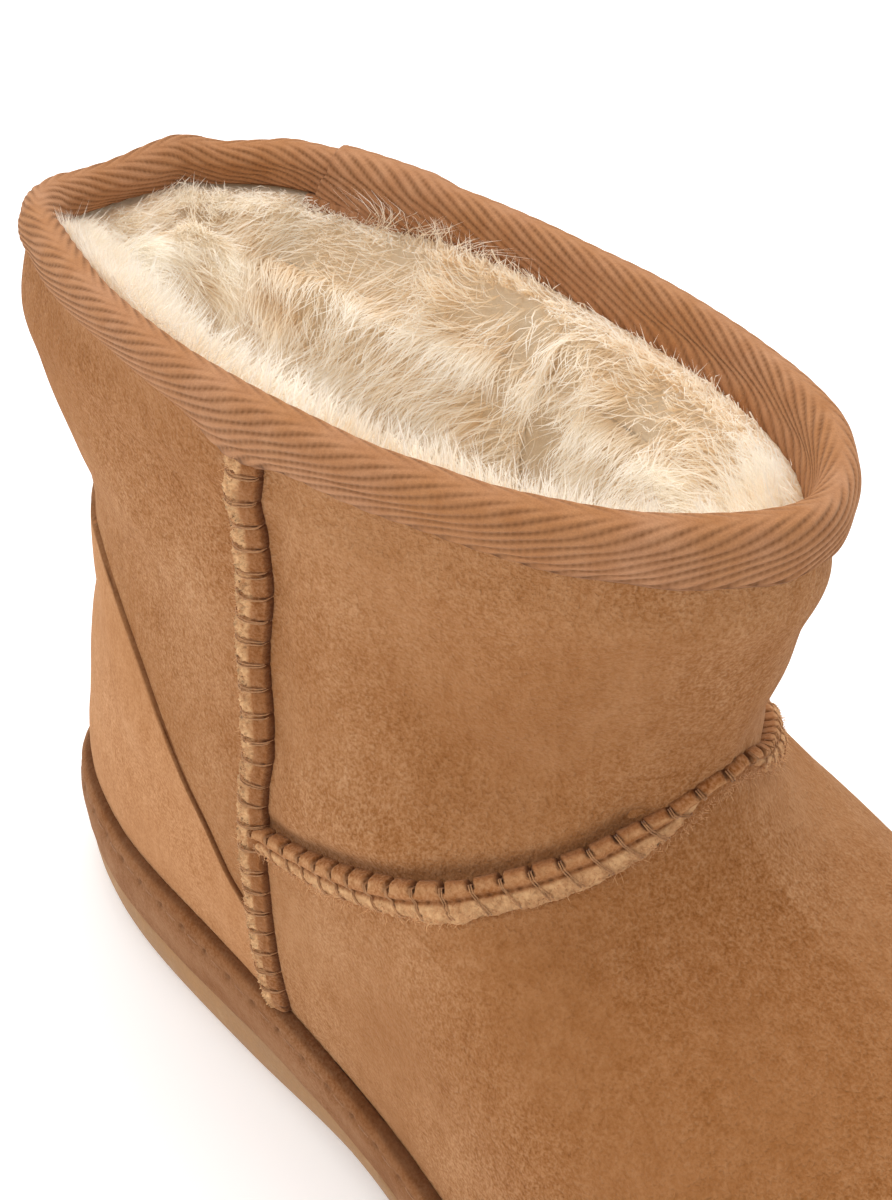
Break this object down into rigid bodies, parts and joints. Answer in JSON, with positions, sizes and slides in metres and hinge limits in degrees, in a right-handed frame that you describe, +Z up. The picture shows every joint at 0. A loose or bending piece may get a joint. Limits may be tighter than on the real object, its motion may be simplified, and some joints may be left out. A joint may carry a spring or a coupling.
{
  "type": "sheepskin boot",
  "caption": "Short pull-on sheepskin boot for the right foot: suede outside, fleece inside, taped collar, raised seams, low moulded sole.",
  "frame": {"origin": "middle of the boot's footprint, on the floor under the outsole", "axes": "+X from heel to toe, +Y to the inner (medial) side of the right foot, +Z up"},
  "size_m": [0.2796, 0.1032, 0.1483],
  "materials": {
    "suede": "napped chestnut suede",
    "counter_suede": "smooth chestnut suede",
    "seam_suede": "raw cut suede edge",
    "twill": "ribbed cotton twill tape",
    "band_suede": "dark brown suede strip",
    "fleece": "deep cream sheep fleece",
    "sole_foam": "matt moulded sole"
  },
  "bodies": {
    "root": {"upper": "suede", "collar_binding": "twill", "heel_counter": "counter_suede", "lateral_seam": "seam_suede", "medial_seam": "seam_suede", "vamp_seam": "seam_suede", "sole_band": "band_suede", "insole": "fleece", "outsole": "sole_foam"}
  },
  "joints": []
}
